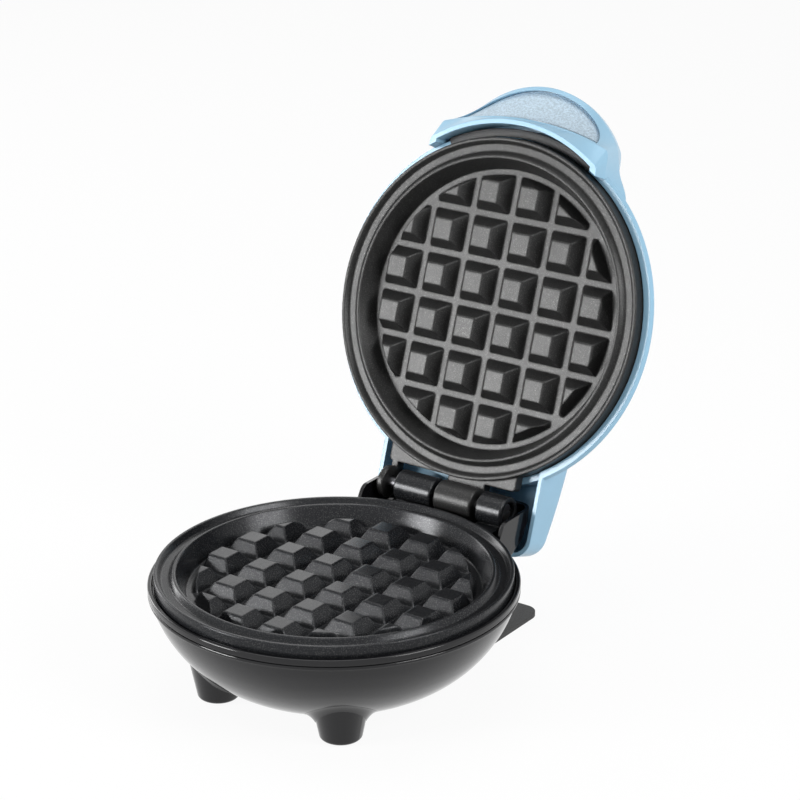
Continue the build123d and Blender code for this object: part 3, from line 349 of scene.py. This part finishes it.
@dataclass(frozen=True)
class FineTexture:
    """Moulded plastic or rubber with a fine spark-eroded texture.

    Attributes:
        name: The material's name.
        colour: The colour.
        roughness: How dull it is.
        grain: Grains per metre.
        depth: Depth of the texture in metres.
        fleck: How much the grains differ in tone.
        blotch_share: Soft blotches per grain.
        blotch_depth: How much duller they are.
        strength: How strongly the texture shows.
        edge: How far in metres its edges are softened.
    """

    name: str
    colour: Colour
    roughness: float
    grain: float = 2600.0
    depth: float = 0.15 * MM
    fleck: float = 0.12
    blotch_share: float = 0.6
    blotch_depth: float = 0.12
    strength: float = 0.6
    edge: float = 0.3 * MM

    def make(self) -> bpy.types.Material:
        """Builds the material.

        Returns:
            The material.
        """
        recipe = Recipe(self.name)
        grains = recipe.grains(self.grain)
        blotch = recipe.noise(self.grain * self.blotch_share, detail=3.0, roughness=0.6)
        tone = recipe.ramp(blotch, low=0.35, high=0.65)
        deeper = tuple(channel * (1 - self.fleck) for channel in self.colour)
        lighter = tuple(min(1.0, channel * (1 + self.fleck)) for channel in self.colour)
        return recipe.shade(
            Base_Color=recipe.blend(tone, deeper, lighter),
            Roughness=self.roughness + self.blotch_depth * blotch,
            Normal=recipe.bump(grains + blotch, self.depth, self.strength, self.edge),
        )


@dataclass(frozen=True)
class NonStick:
    """Satin non-stick coating with tiny pale flecks and a fine sprayed surface.

    Attributes:
        name: The material's name.
        colour: The coating's colour.
        fleck_colour: The colour of the flecks in it.
        roughness: How dull it is.
        spray: How strong the sprayed surface shows.
        grain: Grains of the sprayed surface per metre.
        metal: How metallic the coating is between its flecks.
        fleck_metal: How much more metallic a fleck is.
        shine: How strongly the coating reflects.
        drifts: Duller drifts of the spray per metre.
        drift_depth: How much duller they are.
        spray_depth: Depth of the sprayed surface in metres.
        edge: How far in metres its edges are softened.
    """

    name: str
    colour: Colour
    fleck_colour: Colour
    roughness: float
    spray: float
    grain: float = 2600.0
    metal: float = 0.3
    fleck_metal: float = 0.3
    shine: float = 0.28
    drifts: float = 70.0
    drift_depth: float = 0.1
    spray_depth: float = 0.1 * MM
    edge: float = 0.9 * MM

    def make(self) -> bpy.types.Material:
        """Builds the material.

        Returns:
            The material.
        """
        recipe = Recipe(self.name)
        speck = recipe.ramp(recipe.noise(self.grain, detail=1.0), low=0.5, high=0.8)
        drift = recipe.noise(self.drifts, detail=3.0)
        sprayed = recipe.noise(self.grain, detail=2.0, roughness=0.6)
        return recipe.shade(
            Base_Color=recipe.blend(speck, self.colour, self.fleck_colour),
            Metallic=self.metal + self.fleck_metal * speck,
            Specular_IOR_Level=self.shine,
            Roughness=self.roughness + self.drift_depth * drift,
            Normal=recipe.bump(sprayed, self.spray_depth, self.spray, self.edge),
        )


@dataclass(frozen=True)
class Metal:
    """Plain drawn or turned metal with fine scratches.

    Attributes:
        name: The material's name.
        colour: The metal's colour.
        roughness: How dull it is.
        scratches: Scratches per metre.
        scratch_depth: Their depth in metres.
        scratch_strength: How strongly they show.
        scratch_dull: How much duller they are.
        clouds: Clouds of tone per metre.
        cloud_share: How much of its colour a cloud keeps.
        edge: How far in metres its edges are softened.
    """

    name: str
    colour: Colour
    roughness: float = 0.28
    scratches: float = 900.0
    scratch_depth: float = 0.1 * MM
    scratch_strength: float = 0.2
    scratch_dull: float = 0.12
    clouds: float = 120.0
    cloud_share: float = 0.85
    edge: float = 0.1 * MM

    def make(self) -> bpy.types.Material:
        """Builds the material.

        Returns:
            The material.
        """
        recipe = Recipe(self.name)
        scratch = recipe.noise(self.scratches, detail=4.0, roughness=0.7)
        tone = recipe.ramp(recipe.noise(self.clouds), low=0.3, high=0.7)
        return recipe.shade(
            Base_Color=recipe.toned(self.colour, self.cloud_share, tone),
            Metallic=1.0,
            Roughness=self.roughness + self.scratch_dull * scratch,
            Normal=recipe.bump(scratch, self.scratch_depth, self.scratch_strength, self.edge),
        )


@dataclass(frozen=True)
class ClearLens:
    """Clear tinted lens.

    Attributes:
        name: The material's name.
        colour: The tint.
        clearness: How much light goes through.
        roughness: How dull it is.
        clouds: Clouds of tone per metre.
        cloud_share: How much of its tint a cloud keeps.
        smears: Dull smears per metre.
        smear_depth: How much duller they are.
    """

    name: str
    colour: Colour
    clearness: float = 0.6
    roughness: float = 0.08
    clouds: float = 300.0
    cloud_share: float = 0.8
    smears: float = 400.0
    smear_depth: float = 0.05

    def make(self) -> bpy.types.Material:
        """Builds the material.

        Returns:
            The material.
        """
        recipe = Recipe(self.name)
        tone = recipe.ramp(recipe.noise(self.clouds), low=0.3, high=0.7)
        return recipe.shade(
            Base_Color=recipe.toned(self.colour, self.cloud_share, tone),
            Transmission_Weight=self.clearness,
            Roughness=self.roughness + self.smear_depth * recipe.noise(self.smears),
        )


Finish = GlossPlastic | FineTexture | NonStick | Metal | ClearLens

FINISHES: dict[Coat, Finish] = {
    Coat.BLUE: GlossPlastic(
        Coat.BLUE.value, (0.28, 0.485, 0.64), roughness=0.3, coat=0.15, ripple=0.02, shine=0.35
    ),
    Coat.GRIP: FineTexture(
        Coat.GRIP.value, (0.42, 0.52, 0.60), roughness=0.5, grain=2200.0, depth=0.3 * MM, fleck=0.16
    ),
    Coat.BOWL: GlossPlastic(
        Coat.BOWL.value, (0.004, 0.004, 0.005), roughness=0.1, coat=0.3, ripple=0.03, shine=0.25
    ),
    Coat.RING: GlossPlastic(
        Coat.RING.value, (0.005, 0.005, 0.006), roughness=0.12, coat=0.3, ripple=0.02, shine=0.25
    ),
    Coat.LINER: FineTexture(Coat.LINER.value, (0.010, 0.010, 0.011), roughness=0.4),
    Coat.STAND: FineTexture(Coat.STAND.value, (0.025, 0.025, 0.025), roughness=0.55),
    Coat.UPPER_COATING: NonStick(
        Coat.UPPER_COATING.value,
        (0.022, 0.022, 0.022),
        (0.085, 0.085, 0.083),
        roughness=0.27,
        spray=0.5,
        grain=3200.0,
    ),
    # The lower plate's coating is darker than the upper's; the darker colour is painted shade, its
    # lower roughness is its own.
    Coat.SHADED_LOWER_COATING: NonStick(
        Coat.SHADED_LOWER_COATING.value,
        (0.011, 0.012, 0.014),
        (0.07, 0.07, 0.07),
        roughness=0.16,
        spray=0.2,
    ),
    Coat.BRIGHT: Metal(Coat.BRIGHT.value, (0.62, 0.62, 0.63)),
    Coat.DARK: Metal(Coat.DARK.value, (0.16, 0.16, 0.17), roughness=0.32),
    Coat.TIN: Metal(Coat.TIN.value, (0.75, 0.75, 0.76), roughness=0.2),
    Coat.BRASS: Metal(Coat.BRASS.value, (0.70, 0.55, 0.25)),
    Coat.RUBBER: FineTexture(Coat.RUBBER.value, (0.02, 0.02, 0.02), roughness=0.7),
    Coat.CERAMIC: FineTexture(Coat.CERAMIC.value, (0.75, 0.74, 0.70), roughness=0.45),
    Coat.LENS: ClearLens(Coat.LENS.value, (0.80, 0.05, 0.03)),
}


class Paint:
    """Keeps each finish's material and puts it on pieces."""

    def __init__(self) -> None:
        """Builds every finish once."""
        self.made = {coat: finish.make() for coat, finish in FINISHES.items()}

    def put_on(self, piece: bpy.types.Object, coat: Coat) -> None:
        """Gives one piece a finish.

        Args:
            piece: The piece.
            coat: Its finish.
        """
        if not piece.material_slots:
            piece.data.materials.append(self.made[coat])
        for place in piece.material_slots:
            place.material = self.made[coat]
        LOG.info("dressed %s in %s", piece.name, coat.value)

    def dress(self, coats: dict[str, Coat]) -> None:
        """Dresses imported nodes.

        Args:
            coats: The finish of each node, by the node's name.
        """
        for name, coat in coats.items():
            self.put_on(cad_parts[name], coat)


def place_piece(name: str, shape: bmesh.types.BMesh, body: Body) -> bpy.types.Object:
    """Turns a built shape into a smooth-shaded piece that rides on a body.

    Args:
        name: The piece's name.
        shape: The built shape, which is used up.
        body: The body that carries it.

    Returns:
        The new object.
    """
    mesh = bpy.data.meshes.new(name)
    shape.to_mesh(mesh)
    shape.free()
    mesh.polygons.foreach_set("use_smooth", [True] * len(mesh.polygons))
    mesh.set_sharp_from_angle(angle=SMOOTH_ANGLE)
    piece = bpy.data.objects.new(name, mesh)
    bpy.context.scene.collection.objects.link(piece)
    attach(piece, body.value)
    return piece


@dataclass
class Bowl:
    """The black base: shell, trim ring, feet and stand plate.

    Attributes:
        foot_x: How far each foot stands to the side.
        foot_y: How far each foot stands to the front or back.
        foot_radius: The foot's radius where it meets the bowl.
        flare: How far the foot flares out along the bowl.
        flare_drop: How far down the foot the flare starts.
        sink: How far the flare reaches into the bowl's wall.
        proud: How far the flare's edge stands off the bowl.
        steps: Steps across the flare.
        turns: Steps round the foot.
        arc_radius: Radius of the bowl's side arc.
        arc_out: Distance of the arc's centre from the middle.
        arc_up: Height of the arc's centre.
        floor: Height of the bowl's flat underside.
    """

    foot_x: float = 25.1 * MM
    foot_y: float = 31.1 * MM
    foot_radius: float = 8.3 * MM
    flare: float = 3.4 * MM
    flare_drop: float = 2.6 * MM
    sink: float = 0.8 * MM
    proud: float = 0.04 * MM
    steps: int = 8
    turns: int = 56
    arc_radius: float = 44.1 * MM
    arc_out: float = 18.4 * MM
    arc_up: float = 46.4 * MM
    floor: float = 6.7 * MM

    def _level(self, x: float, y: float) -> float:
        """Finds the height of the bowl's outside.

        Args:
            x: Place across the base.
            y: Place along the base.

        Returns:
            The height in metres.
        """
        out = math.hypot(x, y) - self.arc_out
        if out <= 0:
            return self.floor
        return max(self.floor, self.arc_up - math.sqrt(self.arc_radius**2 - out**2))

    def flares(self) -> bpy.types.Object:
        """Makes the hollow flares where the feet grow out of the bowl.

        Returns:
            One object with the four flares.
        """
        shape = bmesh.new()
        for side, end in ((1, 1), (1, -1), (-1, 1), (-1, -1)):
            middle = Vector((side * self.foot_x, end * self.foot_y, 0))
            inner = self.foot_radius - self.proud
            reach = self.foot_radius + self.flare
            line = []
            for step in range(self.steps + 1):
                share = step / self.steps
                drop = self.flare_drop * (1 - share) ** 2 + self.proud
                line.append((inner + share * (reach - inner), -drop))
            line += [(reach, self.sink), (inner, self.sink)]
            dots = [shape.verts.new(middle + Vector((out, 0, up))) for out, up in line]
            ends = dots[1:] + dots[:1]
            rim = [shape.edges.new((dot, following)) for dot, following in zip(dots, ends)]
            bmesh.ops.spin(
                shape,
                geom=dots + rim,
                cent=middle,
                axis=(0, 0, 1),
                angle=math.tau,
                steps=self.turns,
                use_merge=True,
            )
        for dot in shape.verts:
            dot.co.z += self._level(dot.co.x, dot.co.y)
        bmesh.ops.remove_doubles(shape, verts=shape.verts, dist=MERGE_REACH)
        bmesh.ops.recalc_face_normals(shape, faces=shape.faces)
        return place_piece("foot_flares", shape, Body.BASE)

    def build(self, paint: Paint) -> None:
        """Builds the flares and dresses the base.

        Args:
            paint: The finishes.
        """
        paint.put_on(self.flares(), Coat.BOWL)
        paint.dress(
            {
                "base_shell": Coat.BOWL,
                "base_ring": Coat.RING,
                "foot_pads": Coat.RUBBER,
                "stand_plate": Coat.STAND,
                "stand_screws": Coat.DARK,
                "hinge_pin": Coat.DARK,
            }
        )


@dataclass
class CookingSide:
    """One cooking plate with its heating parts.

    Attributes:
        side: The word that starts the names of its pieces.
        coating: The plate's finish.
    """

    side: str
    coating: Coat

    def build(self, paint: Paint) -> None:
        """Dresses the plate, heater, clamps, screws and reflector.

        Args:
            paint: The finishes.
        """
        paint.dress(
            {
                f"{self.side}_plate": self.coating,
                f"{self.side}_plate_screws": Coat.BRIGHT,
                f"{self.side}_element": Coat.DARK,
                f"{self.side}_clamps": Coat.BRIGHT,
                f"{self.side}_clamp_screws": Coat.BRIGHT,
                f"{self.side}_reflector": Coat.TIN,
            }
        )


@dataclass
class Wiring:
    """The switching and wiring parts under the lower plate."""

    def build(self, paint: Paint) -> None:
        """Dresses the wiring parts.

        Args:
            paint: The finishes.
        """
        paint.dress(
            {
                "thermostat": Coat.LINER,
                "under_plate_screws": Coat.BRIGHT,
                "thermal_fuse": Coat.CERAMIC,
                "fuse_strap": Coat.BRIGHT,
                "terminal_block": Coat.CERAMIC,
                "terminal_screws": Coat.BRIGHT,
                "earth_tag": Coat.BRASS,
                "earth_screw": Coat.BRIGHT,
                "cord_inlet": Coat.RUBBER,
            }
        )


@dataclass
class Lid:
    """The blue lid: shell with its handle, grip panel, inner ring and lamp.

    Attributes:
        rim_height: Height of the upper plate's rim with the lid closed.
        hinge_out: How far back the hinge is.
        hinge_up: Height of the hinge.
        open_angle: How far the lid stands open, in degrees.
        band_in: Inner radius of the black band inside the lip, which is partly painted shade.
        band_out: Its outer radius.
        band_front: How far behind the rim it starts.
        band_back: How far behind the rim it ends.
        band_half: Half the angle that it covers, in degrees.
        band_steps: Steps along it.
        band_edge: How round its edges are.
        corner: The least angle of an edge that gets rounded, in degrees.
    """

    rim_height: float = 43.2 * MM
    hinge_out: float = 67.0 * MM
    hinge_up: float = 43.5 * MM
    open_angle: float = 108.8
    band_in: float = 59.95 * MM
    band_out: float = 62.95 * MM
    band_front: float = 4.2 * MM
    band_back: float = 10.0 * MM
    band_half: float = 28.0
    band_steps: int = 40
    band_edge: float = 0.3 * MM
    corner: float = 60.0

    def open_up(self, shape: bmesh.types.BMesh) -> None:
        """Moves a shape built behind the rim of the closed lid to where the open lid is.

        Args:
            shape: The shape, with its depth behind the rim as its height.
        """
        hinge = Vector((0, self.hinge_out, self.hinge_up - self.rim_height))
        turn = Matrix.Rotation(math.radians(-self.open_angle), 3, "X")
        bmesh.ops.rotate(shape, verts=shape.verts, cent=hinge, matrix=turn)
        bmesh.ops.translate(shape, verts=shape.verts, vec=(0, 0, self.rim_height))

    def lip_shade_band(self) -> bpy.types.Object:
        """Makes the black band between the plate and the handle's lip, partly the black inner liner
        and partly painted shade that darkens the deep trench there.

        Returns:
            The band.
        """
        shape = bmesh.new()
        start = math.radians(-90 - self.band_half)
        along = Vector((math.cos(start), math.sin(start), 0))
        corners = (
            (self.band_in, self.band_front),
            (self.band_out, self.band_front),
            (self.band_out, self.band_back),
            (self.band_in, self.band_back),
        )
        dots = [shape.verts.new(along * out + Vector((0, 0, depth))) for out, depth in corners]
        end = shape.faces.new(dots)
        bmesh.ops.spin(
            shape,
            geom=[end, *end.edges, *dots],
            cent=(0, 0, 0),
            axis=(0, 0, 1),
            angle=math.radians(2 * self.band_half),
            steps=self.band_steps,
            use_duplicate=False,
        )
        bmesh.ops.remove_doubles(shape, verts=shape.verts, dist=MERGE_REACH)
        bmesh.ops.recalc_face_normals(shape, faces=shape.faces)
        least = math.radians(self.corner)
        sharp = [edge for edge in shape.edges if edge.calc_face_angle(0) > least]
        bmesh.ops.bevel(
            shape,
            geom=sharp,
            offset=self.band_edge,
            segments=2,
            profile=0.5,
            affect="EDGES",
            material=-1,
            clamp_overlap=True,
        )
        self.open_up(shape)
        return place_piece("lip_shade_band", shape, Body.LID)

    def build(self, paint: Paint) -> None:
        """Builds the band of partly painted shade and dresses the lid.

        Args:
            paint: The finishes.
        """
        # The black band under the lip is partly the inner liner and partly painted shade of the
        # trench.
        paint.put_on(self.lip_shade_band(), Coat.LINER)
        paint.dress(
            {
                "lid_shell": Coat.BLUE,
                "grip_panel": Coat.GRIP,
                "lid_liner": Coat.LINER,
                "liner_screws": Coat.BRIGHT,
                "lamp_lens": Coat.LENS,
                "lamp": Coat.CERAMIC,
                "lamp_holder": Coat.CERAMIC,
            }
        )


@dataclass(frozen=True)
class SoftBox:
    """One soft light.

    Attributes:
        name: Its name.
        place: Its place in metres.
        size: Its width and height in metres.
        power: Its power in watts.
    """

    name: str
    place: tuple[float, float, float]
    size: tuple[float, float]
    power: float

    def hang(self, aim: Vector) -> None:
        """Hangs the light.

        Args:
            aim: The point that it looks at.
        """
        data = bpy.data.lights.new(self.name, "AREA")
        data.shape = "RECTANGLE"
        data.size, data.size_y = self.size
        data.energy = self.power
        box = bpy.data.objects.new(self.name, data)
        box.location = self.place
        box.rotation_mode = "QUATERNION"
        box.rotation_quaternion = (aim - Vector(self.place)).to_track_quat("-Z", "Y")
        bpy.context.scene.collection.objects.link(box)


SOFT_BOXES = (
    SoftBox("key_left", (-0.60, -0.87, 0.27), (0.42, 0.42), 12.5),
    SoftBox("top", (-0.1, 0.05, 1.1), (0.8, 0.8), 3.5),
    SoftBox("edge_left", (-1.0, 0.15, 0.35), (0.25, 0.7), 3.0),
    SoftBox("edge_back", (-0.62, 0.90, 0.50), (0.3, 0.3), 0.35),
    SoftBox("fill_right", (0.90, 0.0, 0.62), (0.5, 0.5), 7.5),
)


@dataclass
class Studio:
    """Camera, pale floor, surround and soft lights.

    Attributes:
        azimuth: Where the camera stands round the cooker, in degrees.
        elevation: How far above the worktop it looks from, in degrees.
        roll: Its tilt, in degrees.
        place: Its place in metres.
        lens: Its focal length in millimetres.
        sensor: The width of its sensor in millimetres.
        clip: The nearest and farthest distance that it sees, in metres.
        aim: The point that the lights look at, in metres.
        floor_size: Width of the floor in metres.
        floor_gap: How far the floor lies under the feet, in metres.
        floor_grey: How pale the floor is.
        floor_roughness: How dull the floor is.
        floor_glow: How much of the floor's plain white the camera sees.
        surround: How bright the surround is for the cooker.
    """

    azimuth: float = 35.163
    elevation: float = 21.063
    roll: float = -0.125
    place: tuple[float, float, float] = (0.4855, -0.6513, 0.4137)
    lens: float = 121.61
    sensor: float = 36.0
    clip: tuple[float, float] = (0.05, 20.0)
    aim: tuple[float, float, float] = (0.0, 0.03, 0.07)
    floor_size: float = 6.0
    floor_gap: float = 0.2 * MM
    floor_grey: float = 0.86
    floor_roughness: float = 0.9
    floor_glow: float = 0.93
    surround: float = 0.22

    def camera(self) -> None:
        """Places the camera where the photograph was taken from."""
        az, el, roll = (math.radians(value) for value in (self.azimuth, self.elevation, self.roll))
        back = Vector((math.sin(az) * math.cos(el), -math.cos(az) * math.cos(el), math.sin(el)))
        level = Vector((math.cos(az), math.sin(az), 0))
        rise = back.cross(level)
        right = math.cos(roll) * level + math.sin(roll) * rise
        up = math.cos(roll) * rise - math.sin(roll) * level
        data = bpy.data.cameras.new("camera")
        data.lens = self.lens
        data.sensor_width = self.sensor
        data.clip_start, data.clip_end = self.clip
        eye = bpy.data.objects.new("camera", data)
        turn = Matrix((right, up, back)).transposed().to_4x4()
        eye.matrix_world = Matrix.Translation(self.place) @ turn
        bpy.context.scene.collection.objects.link(eye)
        bpy.context.scene.camera = eye

    def _seen(self, tree: bpy.types.NodeTree) -> Wire:
        """Adds up the camera, glossy and see-through rays.

        Args:
            tree: The node tree to add them to.

        Returns:
            1 for those rays and 0 for all others.
        """
        path = tree.nodes.new("ShaderNodeLightPath")
        kinds = ("Camera", "Glossy", "Transmission")
        camera, glossy, through = (Wire(tree, path.outputs[f"Is {kind} Ray"]) for kind in kinds)
        return (camera + glossy + through).at_most(1.0)

    def floor(self) -> None:
        """Makes a plain pale floor that shows white but keeps the shadow."""
        mesh = bpy.data.meshes.new("floor")
        shape = bmesh.new()
        bmesh.ops.create_grid(shape, x_segments=1, y_segments=1, size=self.floor_size / 2)
        bmesh.ops.translate(shape, verts=shape.verts, vec=(0, 0, -self.floor_gap))
        shape.to_mesh(mesh)
        shape.free()
        plane = bpy.data.objects.new("floor", mesh)
        bpy.context.scene.collection.objects.link(plane)
        recipe = Recipe("floor_pale")
        grey = (self.floor_grey, self.floor_grey, self.floor_grey, OPAQUE)
        recipe.shade(Base_Color=grey, Roughness=self.floor_roughness)
        glow = recipe.node("ShaderNodeEmission", Strength=1.0)
        mix = recipe.node("ShaderNodeMixShader")
        factor, lit, plain = mix.inputs
        recipe.tree.links.new((self._seen(recipe.tree) * self.floor_glow).socket, factor)
        recipe.tree.links.new(recipe.shader.outputs[0], lit)
        recipe.tree.links.new(glow.outputs[0], plain)
        recipe.tree.links.new(mix.outputs[0], recipe.output.inputs["Surface"])
        mesh.materials.append(recipe.material)

    def world(self) -> None:
        """Makes a soft grey surround that shows white to the camera."""
        made = bpy.data.worlds.new("studio")
        made.use_nodes = True
        tree = made.node_tree
        ground = tree.nodes["Background"]
        ground.inputs["Color"].default_value = (1.0, 1.0, 1.0, OPAQUE)
        strength = self.surround + (1 - self.surround) * self._seen(tree)
        tree.links.new(strength.socket, ground.inputs["Strength"])
        bpy.context.scene.world = made

    def build(self) -> None:
        """Sets the whole studio up."""
        self.camera()
        self.floor()
        self.world()
        for box in SOFT_BOXES:
            box.hang(Vector(self.aim))
        bpy.context.scene.view_settings.view_transform = "Standard"


def main() -> None:
    """Builds the studio and the cooker's sub-assemblies."""
    logging.basicConfig(level=logging.INFO, format="%(name)s: %(message)s")
    Studio().build()
    paint = Paint()
    parts = (
        Bowl(),
        CookingSide("lower", Coat.SHADED_LOWER_COATING),
        CookingSide("upper", Coat.UPPER_COATING),
        Wiring(),
        Lid(),
    )
    for part in parts:
        part.build(paint)
        LOG.info("built %s", type(part).__name__)


if __name__ == "__main__":
    main()
